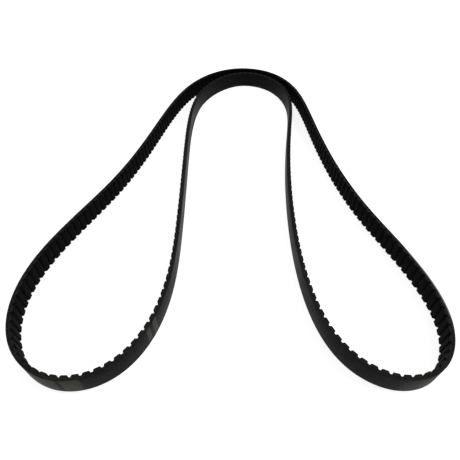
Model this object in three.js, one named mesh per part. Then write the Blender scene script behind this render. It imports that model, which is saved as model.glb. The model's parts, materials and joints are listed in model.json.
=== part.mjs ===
// Toothed timing belt: an endless loop standing on its edge, laid out as a horseshoe.
// Two long legs end in teardrop lobes, and their strands run side by side over the crown.
//
// Millimetres, +Z up. The belt stands on Z = 0 and is centred on X = 0, Y = 0.
// The teeth face the inside of the loop and the smooth back faces out.
//
// A moulded belt is a sandwich: backing rubber, tensile cords, tooth rubber and a fabric
// facing over the teeth. It bends anywhere along its length. Here it is cut into short runs
// that bend at tooth lands, on the cord line, where a real belt neither stretches nor shrinks.

import * as THREE from "three";
import { NURBSCurve } from "three/addons/curves/NURBSCurve.js";

// ---- Driving dimensions ----

const PITCH = 10;
const TOOTH_COUNT = 272;
const BELT_WIDTH = 25;

// Heights across the belt, measured outwards from the cord line.
const BACK_FACE = 2.0;
const CORD_RADIUS = 0.42;
const BOND = 0.08;
const LAND_FACE = -1.2;
const TOOTH_HEIGHT = 2.2;
const FACING_THICKNESS = 0.35;
const FACING_BOND = 0.05;

// Widths of one trapezoidal tooth, over the facing.
const TOOTH_TIP_WIDTH = 6.0;
const TOOTH_BASE_WIDTH = 8.1;

// Clear space between two runs at the land where they hinge.
const HINGE_GAP = 0.6;

// ---- Outline of the cord line, anticlockwise, as the control points of a closed cubic spline ----

const RIGHT_OUTER_STRAND = [
  [225, -232], [206, -158], [170, -80], [147, 12], [135, 108], [128, 184],
];
const OUTER_CROWN = [
  [112, 244], [76, 289], [20, 303], [-33, 281], [-75, 229],
];
const LEFT_OUTER_STRAND = [
  [-101, 153], [-121, 68], [-148, -21], [-184, -92], [-214, -156],
];
const LEFT_LOBE = [
  [-223, -216], [-206, -270], [-161, -302], [-110, -294], [-75, -253],
];
const LEFT_INNER_STRAND = [
  [-59, -186], [-59, -95], [-61, 5], [-63, 95], [-60, 161],
];
const INNER_CROWN = [
  [-49, 214], [-20, 258], [20, 285], [65, 274], [95, 238], [108, 183],
];
const RIGHT_INNER_STRAND = [
  [96, 105], [84, 15], [78, -80], [79, -168], [90, -235],
];
const RIGHT_LOBE = [
  [114, -281], [159, -303], [204, -287],
];
const OUTLINE = [
  ...RIGHT_OUTER_STRAND, ...OUTER_CROWN, ...LEFT_OUTER_STRAND, ...LEFT_LOBE,
  ...LEFT_INNER_STRAND, ...INNER_CROWN, ...RIGHT_INNER_STRAND, ...RIGHT_LOBE,
];

// ---- The runs, anticlockwise from a land low on the right outer strand, with their teeth ----

const FIRST_LAND = 3;
const RUNS = [
  ["right_outer_lower", 21], ["right_outer_upper", 21], ["outer_crown", 14],
  ["left_outer_upper", 22], ["left_outer_lower", 23], ["left_lobe_outer", 20],
  ["left_lobe_inner", 17], ["left_inner_lower", 21], ["left_inner_upper", 22],
  ["inner_crown", 14],
  ["right_inner_upper", 22], ["right_inner_lower", 19], ["right_lobe_inner", 16],
  ["right_lobe_outer", 20],
];

// ---- Materials ----

const backingRubber = new THREE.MeshStandardMaterial({ color: 0x2b2a29, roughness: 0.55, metalness: 0 });
const cordFibre = new THREE.MeshStandardMaterial({ color: 0x8a7d5c, roughness: 0.8, metalness: 0 });
const toothRubber = new THREE.MeshStandardMaterial({ color: 0x1c1c1c, roughness: 0.65, metalness: 0 });
const nylonFacing = new THREE.MeshStandardMaterial({ color: 0x0e0e0f, roughness: 0.85, metalness: 0 });

// ---- Lands along the cord line ----

// The closed spline through the outline, as a NURBS curve whose ends wrap round.
function closedSpline(outline) {
  const degree = 3;
  const wrapped = [...outline, ...outline.slice(0, degree)];
  const points = wrapped.map(([x, y]) => new THREE.Vector4(x, y, 0, 1));
  const knots = Array.from({ length: points.length + degree + 1 }, (_, i) => i);
  const curve = new NURBSCurve(degree, knots, points, degree, points.length);
  curve.arcLengthDivisions = 8000;
  return curve;
}

// The middle of every land, one pitch apart along a cord line of the belt's exact length.
function landCentres() {
  const curve = closedSpline(OUTLINE);
  const scale = (TOOTH_COUNT * PITCH) / curve.getLength();
  const lands = [];
  for (let i = 0; i < TOOTH_COUNT; i += 1) {
    const point = curve.getPointAt(i / TOOTH_COUNT);
    lands.push(new THREE.Vector2(point.x, point.y).multiplyScalar(scale));
  }
  const back = lands.map((land, i) => offsetLand(lands, i, BACK_FACE));
  const centre = new THREE.Box2().setFromPoints(back).getCenter(new THREE.Vector2());
  return lands.map((land) => land.clone().sub(centre));
}

function wrap(index) {
  return (index + TOOTH_COUNT) % TOOTH_COUNT;
}

// The unit direction from one point to another, and its normal, which points out of the loop.
function alongAndOut(from, to) {
  const along = to.clone().sub(from).normalize();
  return { along, out: new THREE.Vector2(along.y, -along.x) };
}

// A land's point at a height above the cord line.
function offsetLand(lands, index, height) {
  const { out } = alongAndOut(lands[wrap(index - 1)], lands[wrap(index + 1)]);
  return lands[wrap(index)].clone().addScaledVector(out, height);
}

const LANDS = landCentres();

// The point at one end of a run, moved into the run by half the hinge gap.
function runEnd(index, height, inwards) {
  const { along, out } = alongAndOut(LANDS[wrap(index - 1)], LANDS[wrap(index + 1)]);
  const end = LANDS[wrap(index)].clone().addScaledVector(along, inwards * HINGE_GAP / 2);
  return end.addScaledVector(out, height);
}

// ---- Edges of the layers, each a list of points from a run's first land to its last ----

// A smooth edge that follows the cord line at one height.
function smoothEdge(first, teeth, height) {
  const edge = [runEnd(first, height, 1)];
  for (let i = 1; i < teeth; i += 1) {
    edge.push(offsetLand(LANDS, first + i, height));
  }
  edge.push(runEnd(first + teeth, height, -1));
  return edge;
}

// A toothed edge that lies under the belt's tooth surface by a depth, square to that surface.
function toothedEdge(first, teeth, depth) {
  const rise = (TOOTH_BASE_WIDTH - TOOTH_TIP_WIDTH) / 2;
  const slope = Math.hypot(rise, TOOTH_HEIGHT);
  const narrowing = depth * (slope - rise) / TOOTH_HEIGHT;
  const land = LAND_FACE + depth;
  const halfBase = TOOTH_BASE_WIDTH / 2 - narrowing;
  const halfTip = TOOTH_TIP_WIDTH / 2 - narrowing;
  const edge = [runEnd(first, land, 1)];
  for (let i = 0; i < teeth; i += 1) {
    const start = LANDS[wrap(first + i)];
    const finish = LANDS[wrap(first + i + 1)];
    const { along, out } = alongAndOut(start, finish);
    const middle = start.clone().add(finish).multiplyScalar(0.5);
    const corner = (side, height) =>
      middle.clone().addScaledVector(along, side).addScaledVector(out, height);
    edge.push(corner(-halfBase, land), corner(-halfTip, land - TOOTH_HEIGHT));
    edge.push(corner(halfTip, land - TOOTH_HEIGHT), corner(halfBase, land));
  }
  edge.push(runEnd(first + teeth, land, -1));
  return edge;
}

// ---- The four layers of one run ----

// A closed strip between two edges, extruded across the belt's width.
function strip(name, outerEdge, innerEdge, material) {
  const shape = new THREE.Shape([...outerEdge, ...innerEdge.reverse()]);
  const geometry = new THREE.ExtrudeGeometry(shape, { depth: BELT_WIDTH, bevelEnabled: false });
  const mesh = new THREE.Mesh(geometry, material);
  mesh.name = name;
  return mesh;
}

function backing(name, first, teeth) {
  const outer = smoothEdge(first, teeth, BACK_FACE);
  const inner = smoothEdge(first, teeth, CORD_RADIUS + BOND);
  return strip(`${name}_backing`, outer, inner, backingRubber);
}

function tensileCords(name, first, teeth) {
  const outer = smoothEdge(first, teeth, CORD_RADIUS);
  const inner = smoothEdge(first, teeth, -CORD_RADIUS);
  return strip(`${name}_tensile_cords`, outer, inner, cordFibre);
}

function toothStrip(name, first, teeth) {
  const outer = smoothEdge(first, teeth, -CORD_RADIUS - BOND);
  const inner = toothedEdge(first, teeth, FACING_THICKNESS + FACING_BOND);
  return strip(`${name}_teeth`, outer, inner, toothRubber);
}

function toothFacing(name, first, teeth) {
  const outer = toothedEdge(first, teeth, FACING_THICKNESS);
  const inner = toothedEdge(first, teeth, 0);
  return strip(`${name}_facing`, outer, inner, nylonFacing);
}

// ---- Assembly ----

const belt = new THREE.Group();
let firstLand = FIRST_LAND;
for (const [name, teeth] of RUNS) {
  const run = new THREE.Group();
  run.add(backing(name, firstLand, teeth));
  run.add(tensileCords(name, firstLand, teeth));
  run.add(toothStrip(name, firstLand, teeth));
  run.add(toothFacing(name, firstLand, teeth));
  belt.add(run);
  firstLand += teeth;
}

export default belt;
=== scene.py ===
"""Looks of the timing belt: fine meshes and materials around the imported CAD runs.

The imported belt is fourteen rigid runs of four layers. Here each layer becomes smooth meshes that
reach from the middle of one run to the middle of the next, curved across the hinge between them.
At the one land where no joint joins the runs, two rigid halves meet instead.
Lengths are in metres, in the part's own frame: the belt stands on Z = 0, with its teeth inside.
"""

import json
import math

import bpy
import numpy as np
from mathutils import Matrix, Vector

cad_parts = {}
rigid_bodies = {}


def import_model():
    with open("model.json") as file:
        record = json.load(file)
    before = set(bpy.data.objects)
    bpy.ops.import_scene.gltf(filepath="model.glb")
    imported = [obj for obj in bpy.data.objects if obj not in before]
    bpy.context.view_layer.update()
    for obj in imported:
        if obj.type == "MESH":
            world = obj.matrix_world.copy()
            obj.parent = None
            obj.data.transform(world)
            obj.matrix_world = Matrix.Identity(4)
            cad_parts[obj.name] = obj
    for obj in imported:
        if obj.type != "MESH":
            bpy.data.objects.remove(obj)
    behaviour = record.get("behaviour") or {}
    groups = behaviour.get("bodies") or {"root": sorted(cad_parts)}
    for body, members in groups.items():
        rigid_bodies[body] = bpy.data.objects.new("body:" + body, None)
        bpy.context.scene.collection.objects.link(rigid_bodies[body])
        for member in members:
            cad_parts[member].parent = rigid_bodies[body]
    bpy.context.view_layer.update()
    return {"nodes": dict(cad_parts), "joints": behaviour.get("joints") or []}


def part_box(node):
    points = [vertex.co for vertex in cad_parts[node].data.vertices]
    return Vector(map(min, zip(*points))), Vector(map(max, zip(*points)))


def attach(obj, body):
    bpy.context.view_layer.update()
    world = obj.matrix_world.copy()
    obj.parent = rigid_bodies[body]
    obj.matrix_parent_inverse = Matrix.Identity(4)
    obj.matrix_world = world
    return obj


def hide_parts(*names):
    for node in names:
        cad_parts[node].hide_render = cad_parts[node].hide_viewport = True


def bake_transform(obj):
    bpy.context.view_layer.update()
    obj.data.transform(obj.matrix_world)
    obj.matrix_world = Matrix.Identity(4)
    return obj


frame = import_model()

MM = 0.001

# ---- The belt's section, with heights measured outwards from the cord line ----

PITCH = 10 * MM
BELT_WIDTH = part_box("outer_crown_backing")[1].z
BACK_FACE = 2.0 * MM
BACK_ROUNDING = 0.25 * MM
CORD_RADIUS = 0.42 * MM
CORD_TURNS = 20
CORD_PLIES = 3
PLY_GROOVE = 0.14
LAND_FACE = -1.2 * MM
TOOTH_HEIGHT = 2.2 * MM
TOOTH_TIP_WIDTH = 6.0 * MM
TOOTH_BASE_WIDTH = 8.1 * MM
TIP_ROUNDING = 0.7 * MM
ROOT_ROUNDING = 0.4 * MM
FACING_THICKNESS = 0.35 * MM
# The facing is drawn in at its cut edges, as (millimetres from the edge, millimetres under).
FACING_EDGE = ((0, 0.10), (0.10, 0.03), (0.25, 0))

# ---- Fineness of the meshes: steps in pitches, sides of a cord, steps of a rounded corner ----

BACKING_STEP = 1 / 6
HIDDEN_CORD_STEP = 1 / 2
EDGE_CORD_STEP = 1 / 16
HIDDEN_CORD_SIDES = 6
EDGE_CORD_SIDES = 12
BACK_CORNER_STEPS = 4
TOOTH_CORNER_STEPS = 5
# Edges that turn by more than this stay sharp.
SHARP_ANGLE = math.radians(32)

# ---- The runs of the loop, anticlockwise ----

RUNS = (
    "right_outer_lower", "right_outer_upper", "outer_crown", "left_outer_upper",
    "left_outer_lower", "left_lobe_outer", "left_lobe_inner", "left_inner_lower",
    "left_inner_upper", "inner_crown", "right_inner_upper", "right_inner_lower",
    "right_lobe_inner", "right_lobe_outer",
)

# ---- Wear and a painted rim highlight, as (run, first pitch, last pitch, strength, fade) ----

# The pitches count from the run's first land, and a stretch fades for so many millimetres to each
# side of both its ends.
FADED_PATCHES = (
    ("left_lobe_outer", 15.8, 18.7, 0.9, 1.5),
    ("left_lobe_outer", 19.1, 20.8, 1.0, 1.2),
    ("left_lobe_inner", 7.9, 8.45, 1.0, 0.6),
    ("left_lobe_inner", 8.95, 9.65, 1.0, 0.6),
    ("left_inner_lower", -1.5, 13.0, 0.5, 25.0),
    ("left_inner_lower", 1.5, 6.0, 0.9, 12.0),
    ("right_lobe_inner", 15.4, 17.8, 0.5, 8.0),
)
# A painted highlight along the upper rim of the right lobe's outer run, in place of light glancing
# off the back's rounded corner.
PAINTED_RIM_HIGHLIGHTS = (("right_lobe_outer", 9.0, 17.5, 1.0, 12.0),)
DUST_STRENGTH = 0.85
# Where the dust and the painted rim highlight start and are complete, in millimetres up the belt or
# over the cord line.
DUST_LEVELS = (6.5, 1.0)
RIM_HIGHLIGHT_BACK_LEVELS = (24.0, 24.8)
RIM_HIGHLIGHT_EDGE_LEVELS = (20.0, 24.0)
RIM_HIGHLIGHT_EDGE_HEIGHTS = (0.0, 0.9)

# ---- Surfaces: cells of the patterns in millimetres, depths of relief, ranges of roughness ----

CLOUD_CELL = (45, 45, 22)
MOTTLE_CELL = (2.4, 2.4, 5)
GRAIN_CELL = (0.45, 0.45, 14)
PORE_CELL = (0.35, 0.35, 0.35)
STREAK_CELL = (9, 0.16, 1)
CRUMB_CELL = (0.22, 0.22, 0.22)
FILAMENT_CELL = (2.5, 0.05, 1)
BARE_CORD_CELL = (90, 90, 30)
FUZZ_CELL = (0.3, 0.3, 0.3)
LINT_AND_FILL_CELL = (1.8, 1.8, 2.2)
THREAD_SPACING = 0.5
THREAD_SHARE = 0.35
# Lint, which also paints light into the shade between the teeth, has its least share up to so many
# millimetres from the tooth tips, and all of it on the lands.
LEAST_LINT_AND_FILL = 0.08
LINT_AND_FILL_START = 0.3
BACK_RELIEF = 0.03 * MM
CUT_RELIEF = 0.04 * MM
CORD_RELIEF = 0.03 * MM
WEAVE_RELIEF = 0.06 * MM
BACK_ROUGHNESS = (0.42, 0.56)
CUT_ROUGHNESS = (0.62, 0.82)
CORD_ROUGHNESS = (0.5, 0.7)
NYLON_ROUGHNESS = (0.6, 0.8)
FLOOR_ROUGHNESS = 0.9

# ---- The studio: metres, degrees, millimetres of lens and watts ----

CAMERA_PLACE = (0.0028, -0.4292, 0.3629)
CAMERA_DOWN = 47.61
CAMERA_LENS = 30.25
CAMERA_SENSOR = 36
FLOOR_REACH = 20.0
FLOOR_GLOW = 0.8
SKY_LIGHT = 0.15
# Name, place, width, height and power.
SOFTBOXES = (
    ("left_softbox", (-1.1, 0.1, 0.7), 1.2, 1.2, 3.0),
    ("right_softbox", (1.1, 0.1, 0.7), 1.2, 1.2, 9.0),
    ("top_softbox", (0, 0.5, 1.4), 1.6, 1.2, 2.5),
)

# ---- Names of what the meshes hold for the materials, all in millimetres ----

BELT_UV = "along_and_around"
MOULDED_PLACE = "moulded_place"
HEIGHT = "height_over_cords"


# ---- Colours ----

def grey(level, warmth=0.0):
    """A colour from a display level of 0 to 255, redder and less blue with warmth."""
    levels = (level * (1 + warmth), level, level * (1 - warmth))
    return tuple(((c / 255 + 0.055) / 1.055) ** 2.4 for c in levels) + (1.0,)


WHITE = (1.0, 1.0, 1.0, 1.0)
FLOOR_WHITE = (0.9, 0.9, 0.9, 1.0)
BACK_RUBBER = grey(8)
CLOUDED_RUBBER = grey(15, 0.03)
MOTTLED_RUBBER = grey(26, 0.03)
FADED_RUBBER = (0.048, 0.047, 0.040, 1.0)
# The grey of the painted rim highlight.
RIM_HIGHLIGHT_GREY = (0.34, 0.33, 0.29, 1.0)
BROWN_DUST = (0.040, 0.026, 0.022, 1.0)
CUT_GREYS = (grey(40), grey(60, 0.02))
DIPPED_CORD_GREYS = (grey(26, 0.05), grey(44, 0.10))
BARE_CORD_TANS = (grey(50, 0.14), grey(84, 0.16))
NYLON_GREYS = (grey(4), grey(11))
# Lint in the valleys, which also paints light into the shade between the teeth.
LINT_AND_FILL_GREY = grey(42, 0.02)


# ---- The cord line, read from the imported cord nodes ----

def cluster(points, reach):
    """The mean of each group of points that lie within reach of each other."""
    groups = []
    for point in points:
        for group in groups:
            if np.linalg.norm(group[0] - point) < reach:
                group.append(point)
                break
        else:
            groups.append([point])
    return np.array([np.mean(group, axis=0) for group in groups])


def cord_vertices(run):
    """The corners of a run's cord layer on the belt's lower edge, each once."""
    mesh = frame["nodes"][run + "_tensile_cords"].data
    low = [tuple(round(c, 7) for c in v.co[:2]) for v in mesh.vertices if v.co.z < BELT_WIDTH / 2]
    return np.array(sorted(set(low)))


def ordered_lands():
    """The middle of every tooth land on the cord line, anticlockwise."""
    corners = np.vstack([cord_vertices(run) for run in RUNS])
    lands = cluster(corners, PITCH / 4)
    order = [0]
    waiting = set(range(1, len(lands)))
    while waiting:
        here = lands[order[-1]]
        nearest = min(waiting, key=lambda i: np.linalg.norm(lands[i] - here))
        order.append(nearest)
        waiting.remove(nearest)
    lands = lands[order]
    x, y = lands.T
    area = np.sum(x * np.roll(y, -1) - np.roll(x, -1) * y) / 2
    return lands if area > 0 else lands[::-1]


def start_at(lands, point):
    """The same lands, counted from the one nearest to a point."""
    first = np.argmin(np.linalg.norm(lands - np.array(point), axis=1))
    return np.roll(lands, -first, axis=0)


def joint_between(a, b):
    """The joint that joins two bodies, or None at the land where the loop is opened."""
    for joint in frame["joints"]:
        if {joint["parent"], joint["child"]} == {a, b}:
            return joint
    return None


TEETH = [len(cord_vertices(run)) // 2 - 1 for run in RUNS]
FIRST_LANDS = [sum(TEETH[:i]) for i in range(len(RUNS))]
TOOTH_COUNT = sum(TEETH)
LANDS = start_at(ordered_lands(), joint_between(RUNS[-1], RUNS[0])["pos_m"][:2])

# The cord line as a sum of circular waves, which passes through every land and is smooth between.
WAVES = np.fft.fft(LANDS[:, 0] + 1j * LANDS[:, 1]) / TOOTH_COUNT
WAVE_ORDERS = np.fft.fftfreq(TOOTH_COUNT, 1 / TOOTH_COUNT)


def cord_line(pitches):
    """Points on the cord line, and the directions out of the loop there, as complex numbers."""
    turns = np.exp(2j * np.pi * np.outer(pitches, WAVE_ORDERS) / TOOTH_COUNT)
    points = turns @ WAVES
    along = turns @ (1j * WAVE_ORDERS * WAVES)
    return points, -1j * along / abs(along)


# ---- Sections of the layers, as rings of (pitches along, height over the cord line, level) ----

def rounded_corner(before, corner, after, radius, steps):
    """Points of the arc that rounds a corner between two straight stretches."""
    before, corner, after = (np.array(p, float) for p in (before, corner, after))
    back = (before - corner) / np.linalg.norm(before - corner)
    onward = (after - corner) / np.linalg.norm(after - corner)
    half_angle = math.acos(np.clip(back @ onward, -1, 1)) / 2
    middle = (back + onward) / np.linalg.norm(back + onward)
    centre = corner + middle * radius / math.sin(half_angle)
    start = corner + back * radius / math.tan(half_angle) - centre
    finish = corner + onward * radius / math.tan(half_angle) - centre
    turn = math.pi - 2 * half_angle
    shares = np.linspace(0, 1, steps + 1)[:, None]
    arc = (np.sin((1 - shares) * turn) * start + np.sin(shares * turn) * finish) / math.sin(turn)
    return [tuple(point) for point in centre + arc]


def tooth_profile(depth):
    """One tooth from land middle to land middle, as (distance from its middle, height).

    The profile lies under the belt's tooth surface by a depth, square to that surface.
    """
    rise = (TOOTH_BASE_WIDTH - TOOTH_TIP_WIDTH) / 2
    narrowing = depth * (math.hypot(rise, TOOTH_HEIGHT) - rise) / TOOTH_HEIGHT
    land = LAND_FACE + depth
    base = (-TOOTH_BASE_WIDTH / 2 + narrowing, land)
    tip = (-TOOTH_TIP_WIDTH / 2 + narrowing, land - TOOTH_HEIGHT)
    land_middle = (-PITCH / 2, land)
    tip_middle = (0, land - TOOTH_HEIGHT)
    half = [land_middle]
    half += rounded_corner(land_middle, base, tip, ROOT_ROUNDING + depth, TOOTH_CORNER_STEPS)
    half += rounded_corner(base, tip, tip_middle, TIP_ROUNDING - depth, TOOTH_CORNER_STEPS)
    return np.array(half + [(-x, height) for x, height in reversed(half)])


def toothed_line(first, last, depth):
    """The tooth profile repeated between two lands, as pitches along and heights."""
    profile = tooth_profile(depth)
    teeth = [profile[:-1] + (PITCH * (i + 0.5), 0) for i in range(first, last)]
    line = np.vstack(teeth + [[(PITCH * last, profile[-1, 1])]])
    return line[:, 0] / PITCH, line[:, 1]


def length_along(pitches, heights):
    """The distance along a profile line, counted from the belt's first land."""
    steps = np.hypot(np.diff(pitches) * PITCH, np.diff(heights))
    walked = np.concatenate([[0], np.cumsum(steps)])
    return walked + pitches[0] * walked[-1] / (pitches[-1] - pitches[0])


def smooth_rings(first, last, ring, step):
    """The same ring of (height, level) carried between two lands, in steps of so many pitches."""
    pitches = np.linspace(first, last, round((last - first) / step) + 1)
    rings = np.empty((len(pitches), len(ring), 3))
    rings[:, :, 0] = pitches[:, None]
    rings[:, :, 1:] = ring
    return rings


def toothed_rings(first, last, ring):
    """Rings that follow the teeth. A ring's points are (depth under the tooth surface, level)."""
    sides = [toothed_line(first, last, depth) for depth, _ in ring]
    rings = np.empty((len(sides[0][0]), len(ring), 3))
    for i, ((pitches, heights), (_, level)) in enumerate(zip(sides, ring)):
        rings[:, i] = np.column_stack([pitches, heights, np.full(len(pitches), level)])
    return rings


# ---- Shader helpers ----

def node(tree, kind, inputs=None, **settings):
    """A shader node with its settings made and its inputs set or linked."""
    made = tree.nodes.new("ShaderNode" + kind)
    for key, value in settings.items():
        setattr(made, key, value)
    for key, value in (inputs or {}).items():
        if isinstance(value, bpy.types.NodeSocket):
            tree.links.new(value, made.inputs[key])
        else:
            made.inputs[key].default_value = value
    return made


def maths(tree, operation, *values):
    """The result of one sum on numbers or sockets."""
    return node(tree, "Math", dict(enumerate(values)), operation=operation).outputs[0]


def moulded_place(tree):
    """Where a point lay when the belt was moulded as a true circle, in millimetres."""
    return node(tree, "Attribute", attribute_name=MOULDED_PLACE).outputs["Vector"]


def height_over_cords(tree):
    """Height over the cord line, in millimetres."""
    return node(tree, "Attribute", attribute_name=HEIGHT).outputs["Fac"]


def along_and_around(tree):
    """Distance along the belt and around its section, as a vector in millimetres."""
    return node(tree, "UVMap", uv_map=BELT_UV).outputs["UV"]


def noise(tree, vector, cell, detail=3.0, roughness=0.5):
    """Noise from 0 to 1 whose cells have a size in each direction."""
    squeezed = node(tree, "VectorMath", {0: vector, 1: cell}, operation="DIVIDE").outputs[0]
    inputs = {"Vector": squeezed, "Scale": 1.0, "Detail": detail, "Roughness": roughness}
    return node(tree, "TexNoise", inputs).outputs["Fac"]


def remap(tree, value, low, high, to_low=0.0, to_high=1.0):
    """A value taken smoothly from one range to another, and held at its ends."""
    inputs = {"Value": value, "From Min": low, "From Max": high, "To Min": to_low, "To Max": to_high}
    return node(tree, "MapRange", inputs, interpolation_type="SMOOTHSTEP").outputs["Result"]


def mixed(tree, factor, first, second):
    """Two colours mixed by a factor."""
    made = node(tree, "MixRGB", {"Fac": factor, "Color1": first, "Color2": second})
    return made.outputs["Color"]


def weighted(tree, first, share, second):
    """A share of the first value and the rest of the second."""
    rest = maths(tree, "MULTIPLY", second, 1 - share)
    return maths(tree, "MULTIPLY_ADD", first, share, rest)


def new_material(name, specular):
    """A material, its node tree and its shader, with its even specular level."""
    made = bpy.data.materials.new(name)
    made.use_nodes = True
    shader = made.node_tree.nodes["Principled BSDF"]
    shader.inputs["Specular IOR Level"].default_value = specular
    return made, made.node_tree, shader


def link_surface(tree, shader, colour, roughness, relief, depth):
    """Gives a shader its colour and roughness, and a relief of 0 to 1 its depth in metres."""
    bump = node(tree, "Bump", {"Height": relief, "Strength": 1.0, "Distance": depth})
    tree.links.new(colour, shader.inputs["Base Color"])
    tree.links.new(roughness, shader.inputs["Roughness"])
    tree.links.new(bump.outputs["Normal"], shader.inputs["Normal"])


# ---- Materials ----

def worn_and_highlit_stretches(tree, along, stretches):
    """Where along the belt given stretches lie, from 0 to 1: patches of wear, and the painted rim
    highlight.
    """
    marked_share = 0.0
    for run, first, last, strength, fade in stretches:
        start = FIRST_LANDS[RUNS.index(run)]
        begin, end = ((start + pitches) * PITCH / MM for pitches in (first, last))
        rises = remap(tree, along, begin - fade, begin + fade, 0.0, strength)
        falls = remap(tree, along, end - fade, end + fade, 1.0, 0.0)
        marked_share = maths(tree, "MAXIMUM", marked_share, maths(tree, "MULTIPLY", rises, falls))
    return marked_share


def backing_rubber():
    """Satin moulded rubber: grained across the belt, clouded, faded in patches, dusty below."""
    made, tree, shader = new_material("backing_rubber", specular=0.03)
    place = moulded_place(tree)
    along = node(tree, "SeparateXYZ", {0: along_and_around(tree)}).outputs["X"]
    level = node(tree, "SeparateXYZ", {0: place}).outputs["Z"]
    cloud = noise(tree, place, CLOUD_CELL, detail=4, roughness=0.6)
    mottle = noise(tree, place, MOTTLE_CELL, detail=4, roughness=0.65)
    grain = noise(tree, place, GRAIN_CELL, detail=2)
    pores = noise(tree, place, PORE_CELL, detail=2)
    colour = mixed(tree, remap(tree, cloud, 0.3, 0.7), BACK_RUBBER, CLOUDED_RUBBER)
    colour = mixed(tree, remap(tree, mottle, 0.40, 0.70), colour, MOTTLED_RUBBER)
    patches = worn_and_highlit_stretches(tree, along, FADED_PATCHES)
    faded = maths(tree, "MULTIPLY", patches, remap(tree, mottle, 0.30, 0.62, 0.55, 1.0))
    colour = mixed(tree, faded, colour, FADED_RUBBER)
    handled = maths(tree, "MAXIMUM", patches, remap(tree, cloud, 0.5, 0.65))
    low = remap(tree, level, *DUST_LEVELS)
    dusty = maths(tree, "MULTIPLY", low, maths(tree, "MULTIPLY", handled, DUST_STRENGTH))
    colour = mixed(tree, dusty, colour, BROWN_DUST)
    # A painted highlight along the top of the back face, on part of the right lobe.
    rim = remap(tree, level, *RIM_HIGHLIGHT_BACK_LEVELS)
    painted_highlight = maths(tree, "MULTIPLY", rim, worn_and_highlit_stretches(tree, along, PAINTED_RIM_HIGHLIGHTS))
    colour = mixed(tree, painted_highlight, colour, RIM_HIGHLIGHT_GREY)
    roughness = remap(tree, cloud, 0.25, 0.75, *BACK_ROUGHNESS)
    link_surface(tree, shader, colour, roughness, weighted(tree, grain, 0.7, pores), BACK_RELIEF)
    return made


def cut_rubber():
    """The knife-cut edges: matt near-black rubber, streaked along the cut, with a painted highlight
    at the rim.
    """
    made, tree, shader = new_material("cut_rubber", specular=0.02)
    belt = along_and_around(tree)
    place = moulded_place(tree)
    streaks = noise(tree, belt, STREAK_CELL, detail=3, roughness=0.6)
    crumbs = noise(tree, place, CRUMB_CELL, detail=3)
    colour = mixed(tree, remap(tree, streaks, 0.35, 0.75), *CUT_GREYS)
    along = node(tree, "SeparateXYZ", {0: belt}).outputs["X"]
    # A painted highlight on the upper cut edge beside the back face, on part of the right lobe.
    level = remap(tree, node(tree, "SeparateXYZ", {0: place}).outputs["Z"], *RIM_HIGHLIGHT_EDGE_LEVELS)
    rim = maths(tree, "MULTIPLY", remap(tree, height_over_cords(tree), *RIM_HIGHLIGHT_EDGE_HEIGHTS), level)
    painted_highlight = maths(tree, "MULTIPLY", rim, worn_and_highlit_stretches(tree, along, PAINTED_RIM_HIGHLIGHTS))
    colour = mixed(tree, painted_highlight, colour, RIM_HIGHLIGHT_GREY)
    roughness = remap(tree, crumbs, 0.3, 0.7, *CUT_ROUGHNESS)
    link_surface(tree, shader, colour, roughness, weighted(tree, streaks, 0.6, crumbs), CUT_RELIEF)
    return made


def cord_fibre():
    """Twisted dark cord, with fine filaments along each ply and bare tan stretches."""
    made, tree, shader = new_material("cord_fibre", specular=0.1)
    filaments = noise(tree, along_and_around(tree), FILAMENT_CELL, detail=2)
    bare = noise(tree, moulded_place(tree), BARE_CORD_CELL, detail=3, roughness=0.6)
    dipped = mixed(tree, filaments, *DIPPED_CORD_GREYS)
    tan = mixed(tree, filaments, *BARE_CORD_TANS)
    colour = mixed(tree, remap(tree, bare, 0.52, 0.68), dipped, tan)
    roughness = remap(tree, filaments, 0.3, 0.7, *CORD_ROUGHNESS)
    link_surface(tree, shader, colour, roughness, filaments, CORD_RELIEF)
    return made


def nylon_facing():
    """Near-black nylon twill: diagonal ribs of fine threads, with fluff in the gaps between teeth
    that is partly painted light.
    """
    made, tree, shader = new_material("nylon_facing", specular=0.02)
    belt = node(tree, "SeparateXYZ", {0: along_and_around(tree)}).outputs
    lengthwise = maths(tree, "MULTIPLY", belt["X"], math.pi / THREAD_SPACING)
    crosswise = maths(tree, "MULTIPLY", belt["Y"], math.pi / THREAD_SPACING)
    ribs = maths(tree, "ABSOLUTE", maths(tree, "SINE", maths(tree, "ADD", lengthwise, crosswise)))
    threads = maths(tree, "ABSOLUTE", maths(tree, "SINE", crosswise))
    weave = weighted(tree, threads, THREAD_SHARE, ribs)
    fuzz = noise(tree, moulded_place(tree), FUZZ_CELL, detail=3)
    lint_and_fill_pattern = noise(tree, moulded_place(tree), LINT_AND_FILL_CELL, detail=4, roughness=0.7)
    # Lint here is partly painted light: lighter in the shaded gaps between teeth and darker on the
    # lit tips, evening out their light and shade.
    valley_top = (LAND_FACE - TOOTH_HEIGHT) / MM + LINT_AND_FILL_START
    in_valley = remap(tree, height_over_cords(tree), valley_top, LAND_FACE / MM, LEAST_LINT_AND_FILL, 1.0)
    lint_and_fill_share = maths(tree, "MULTIPLY", in_valley, remap(tree, lint_and_fill_pattern, 0.38, 0.66))
    colour = mixed(tree, lint_and_fill_share, mixed(tree, weave, *NYLON_GREYS), LINT_AND_FILL_GREY)
    roughness = remap(tree, fuzz, 0.3, 0.7, *NYLON_ROUGHNESS)
    link_surface(tree, shader, colour, roughness, weighted(tree, fuzz, 0.2, weave), WEAVE_RELIEF)
    return made


BACKING_RUBBER = backing_rubber()
CUT_RUBBER = cut_rubber()
CORD_FIBRE = cord_fibre()
NYLON_FACING = nylon_facing()


# ---- Meshes ----

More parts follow.
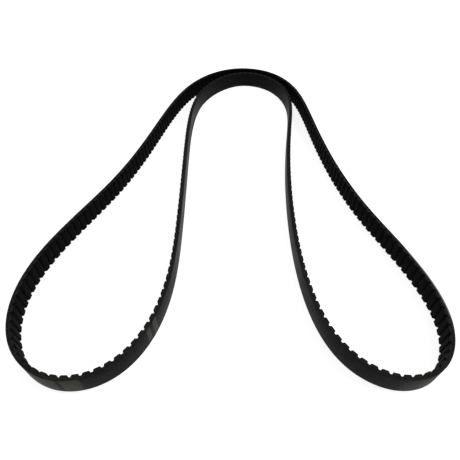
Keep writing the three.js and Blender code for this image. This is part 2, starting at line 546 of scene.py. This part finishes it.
def body_faces(count, around):
    """The faces through so many rings, with two caps last, and the side of the ring of each face."""
    index = np.arange(count * around).reshape(count, around)
    after = np.roll(index, -1, axis=1)
    quads = np.stack([index[:-1], index[1:], after[1:], after[:-1]], axis=2).reshape(-1, 4)
    caps = [index[0].tolist(), index[-1][::-1].tolist()]
    sides = np.tile(np.arange(around), count - 1)
    return quads.tolist() + caps, sides.tolist() + [0, 0]


def body_uv(rings, along):
    """Distance along the belt and around the ring at each corner of each face."""
    count, around = rings.shape[:2]
    girth = np.linalg.norm(np.diff(rings[0, :, 1:], axis=0, append=rings[:1, 0, 1:]), axis=1)
    walked = np.concatenate([[0], np.cumsum(girth)])
    ring_of, side_of = np.divmod(np.arange((count - 1) * around), around)
    u = along[np.stack([ring_of, ring_of + 1, ring_of + 1, ring_of], axis=1)]
    v = walked[np.stack([side_of, side_of, side_of + 1, side_of + 1], axis=1)]
    first_cap = np.column_stack([np.full(around, along[0]), walked[:-1]])
    last_cap = np.column_stack([np.full(around, along[-1]), walked[:-1]])[::-1]
    return np.vstack([np.stack([u, v], axis=2).reshape(-1, 2), first_cap, last_cap])


def swept_body(rings, along):
    """A closed body through the rings, capped at both ends, with what its materials need."""
    pitches, heights, levels = rings.reshape(-1, 3).T
    points, out = cord_line(pitches)
    spots = points + heights * out
    moulding_radius = TOOTH_COUNT * PITCH / (2 * math.pi)
    moulded = (moulding_radius + heights) * np.exp(2j * math.pi * pitches / TOOTH_COUNT)
    faces, sides = body_faces(*rings.shape[:2])
    return {
        "corners": np.column_stack([spots.real, spots.imag, levels]),
        "faces": faces,
        "sides": sides,
        "uv": body_uv(rings, along) / MM,
        "moulded": np.column_stack([moulded.real, moulded.imag, levels]) / MM,
        "heights": heights / MM,
    }


def stacked(bodies, what):
    """One kind of value from all the bodies, as a flat row of numbers."""
    return np.concatenate([np.ravel(body[what]) for body in bodies]).astype(np.float32)


def make_piece(name, bodies, materials, edge_sides=()):
    """One object of closed bodies. The ring sides in edge_sides take the last material."""
    faces = []
    first = 0
    for body in bodies:
        faces += [[first + corner for corner in face] for face in body["faces"]]
        first += len(body["corners"])
    mesh = bpy.data.meshes.new(name)
    mesh.from_pydata(np.vstack([body["corners"] for body in bodies]).tolist(), [], faces)
    mesh.shade_smooth()
    mesh.set_sharp_from_angle(angle=SHARP_ANGLE)
    mesh.uv_layers.new(name=BELT_UV).data.foreach_set("uv", stacked(bodies, "uv"))
    moulded = mesh.attributes.new(MOULDED_PLACE, "FLOAT_VECTOR", "POINT")
    moulded.data.foreach_set("vector", stacked(bodies, "moulded"))
    height = mesh.attributes.new(HEIGHT, "FLOAT", "POINT")
    height.data.foreach_set("value", stacked(bodies, "heights"))
    for material in materials:
        mesh.materials.append(material)
    sides = [side for body in bodies for side in body["sides"]]
    last = len(materials) - 1
    mesh.polygons.foreach_set("material_index", [last if side in edge_sides else 0 for side in sides])
    piece = bpy.data.objects.new(name, mesh)
    bpy.context.scene.collection.objects.link(piece)
    return piece


# ---- The four layers, each between two lands ----

def backing(name, first, last):
    """The smooth outer band, with its two long outer corners rounded."""
    inner, outer = CORD_RADIUS, BACK_FACE
    ring = [(inner, 0)]
    for before, corner, after in (
        ((inner, 0), (outer, 0), (outer, BELT_WIDTH)),
        ((outer, 0), (outer, BELT_WIDTH), (inner, BELT_WIDTH)),
    ):
        ring += rounded_corner(before, corner, after, BACK_ROUNDING, BACK_CORNER_STEPS)
    ring += [(inner, BELT_WIDTH)]
    rings = smooth_rings(first, last, ring, BACKING_STEP)
    body = swept_body(rings, rings[:, 0, 0] * PITCH)
    lower_edge, upper_edge = 0, len(ring) - 2
    return make_piece(name, [body], [BACKING_RUBBER, CUT_RUBBER], [lower_edge, upper_edge])


def hidden_strand(first, last, level):
    """One turn of the tensile cord inside the belt."""
    angles = np.arange(HIDDEN_CORD_SIDES) * 2 * math.pi / HIDDEN_CORD_SIDES
    circle = np.column_stack([CORD_RADIUS * np.cos(angles), level + CORD_RADIUS * np.sin(angles)])
    rings = smooth_rings(first, last, circle, HIDDEN_CORD_STEP)
    return swept_body(rings, rings[:, 0, 0] * PITCH)


def edge_strand(first, last, level):
    """The turn at a cut edge, whose plies wind once round it in each pitch."""
    angles = np.arange(EDGE_CORD_SIDES) * 2 * math.pi / EDGE_CORD_SIDES
    rings = smooth_rings(first, last, np.zeros((EDGE_CORD_SIDES, 2)), EDGE_CORD_STEP)
    radii = CORD_RADIUS * (1 - PLY_GROOVE * (1 - np.cos(CORD_PLIES * angles)) / 2)
    winding = angles + 2 * math.pi * rings[:, :, 0]
    rings[:, :, 1] = radii * np.cos(winding)
    rings[:, :, 2] = level + radii * np.sin(winding)
    return swept_body(rings, rings[:, 0, 0] * PITCH)


def tensile_cords(name, first, last):
    """The turns of the tensile cord, side by side across the belt."""
    levels = np.linspace(CORD_RADIUS, BELT_WIDTH - CORD_RADIUS, CORD_TURNS)
    bodies = [hidden_strand(first, last, level) for level in levels[1:-1]]
    bodies += [edge_strand(first, last, level) for level in (levels[0], levels[-1])]
    return make_piece(name, bodies, [CORD_FIBRE])


def teeth(name, first, last):
    """The tooth rubber, from the cords down to the facing. Only its cut edges show."""
    ring = [(FACING_THICKNESS, level) for level in (0, 0, BELT_WIDTH, BELT_WIDTH)]
    rings = toothed_rings(first, last, ring)
    rings[:, 1:3, 1] = -CORD_RADIUS
    return make_piece(name, [swept_body(rings, rings[:, 0, 0] * PITCH)], [CUT_RUBBER])


def facing(name, first, last):
    """The nylon skin over the teeth, with its cut edges slightly drawn in."""
    lower = [(depth * MM, level * MM) for level, depth in FACING_EDGE]
    upper = [(depth, BELT_WIDTH - level) for depth, level in lower]
    ring = [lower[0], (FACING_THICKNESS, 0), (FACING_THICKNESS, BELT_WIDTH)]
    ring += upper + lower[:0:-1]
    rings = toothed_rings(first, last, ring)
    tooth_side = len(ring) - 2
    along = length_along(rings[:, tooth_side, 0], rings[:, tooth_side, 1])
    return make_piece(name, [swept_body(rings, along)], [NYLON_FACING])


# ---- The pieces: from the middle of each run to the middle of the next ----

LAYERS = {
    "backing": (backing, "backing_rubber"),
    "tensile_cords": (tensile_cords, "tensile_cord"),
    "teeth": (teeth, "tooth_rubber"),
    "facing": (facing, "facing_fabric"),
}


def finish_piece(layer, runs):
    """Hides the imported parts of the runs that a piece stands in for."""
    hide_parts(*[run + "_" + layer for run in runs])


def add_bending_piece(layer, before, after, first, last):
    """One layer across the hinge between two runs."""
    make, slot = LAYERS[layer]
    piece = make(f"{before}_to_{after}_{layer}", first, last)
    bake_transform(piece)
    finish_piece(layer, (before, after))


def add_rigid_piece(layer, run, first, last):
    """One layer of half a run, beside the land where the tree of joints is open."""
    make, slot = LAYERS[layer]
    piece = make(f"{run}_open_end_{layer}", first, last)
    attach(piece, run)
    finish_piece(layer, (run,))


for number, before in enumerate(RUNS):
    after = RUNS[(number + 1) % len(RUNS)]
    hinge = FIRST_LANDS[number] + TEETH[number]
    first = FIRST_LANDS[number] + TEETH[number] // 2
    last = hinge + TEETH[(number + 1) % len(RUNS)] // 2
    for layer in LAYERS:
        if joint_between(before, after):
            add_bending_piece(layer, before, after, first, last)
        else:
            add_rigid_piece(layer, before, first, hinge)
            add_rigid_piece(layer, after, hinge, last)


# ---- Floor, light and camera ----

def pale_floor():
    """A wide plain studio floor with an even glow of its own."""
    made, _, shader = new_material("pale_floor", specular=0.0)
    shader.inputs["Base Color"].default_value = FLOOR_WHITE
    shader.inputs["Roughness"].default_value = FLOOR_ROUGHNESS
    shader.inputs["Emission Color"].default_value = WHITE
    shader.inputs["Emission Strength"].default_value = FLOOR_GLOW
    mesh = bpy.data.meshes.new("floor")
    far = FLOOR_REACH
    corners = [(-far, -far, 0), (far, -far, 0), (far, far, 0), (-far, far, 0)]
    mesh.from_pydata(corners, [], [(0, 1, 2, 3)])
    mesh.materials.append(made)
    floor = bpy.data.objects.new("floor", mesh)
    bpy.context.scene.collection.objects.link(floor)


def white_surroundings():
    """An even light from all round on the belt and the floor, behind a white view."""
    world = bpy.data.worlds.new("studio")
    world.use_nodes = True
    tree = world.node_tree
    seen = node(tree, "LightPath").outputs["Is Camera Ray"]
    background = tree.nodes["Background"]
    background.inputs["Color"].default_value = WHITE
    tree.links.new(maths(tree, "MAXIMUM", seen, SKY_LIGHT), background.inputs["Strength"])
    bpy.context.scene.world = world


def softbox(name, place, width, height, power):
    """A soft area light at a place, turned towards the middle of the floor."""
    data = bpy.data.lights.new(name, "AREA")
    data.shape = "RECTANGLE"
    data.size = width
    data.size_y = height
    data.energy = power
    lamp = bpy.data.objects.new(name, data)
    lamp.location = place
    lamp.rotation_euler = (-Vector(place)).to_track_quat("-Z", "Y").to_euler()
    bpy.context.scene.collection.objects.link(lamp)


def add_camera():
    """The camera, in front of the belt and above it, looking down at it."""
    data = bpy.data.cameras.new("camera")
    data.lens = CAMERA_LENS
    data.sensor_width = CAMERA_SENSOR
    camera = bpy.data.objects.new("camera", data)
    camera.location = CAMERA_PLACE
    camera.rotation_euler = (math.radians(90 - CAMERA_DOWN), 0, 0)
    bpy.context.scene.collection.objects.link(camera)
    bpy.context.scene.camera = camera


pale_floor()
white_surroundings()
for box in SOFTBOXES:
    softbox(*box)
add_camera()
bpy.context.scene.view_settings.view_transform = "Standard"
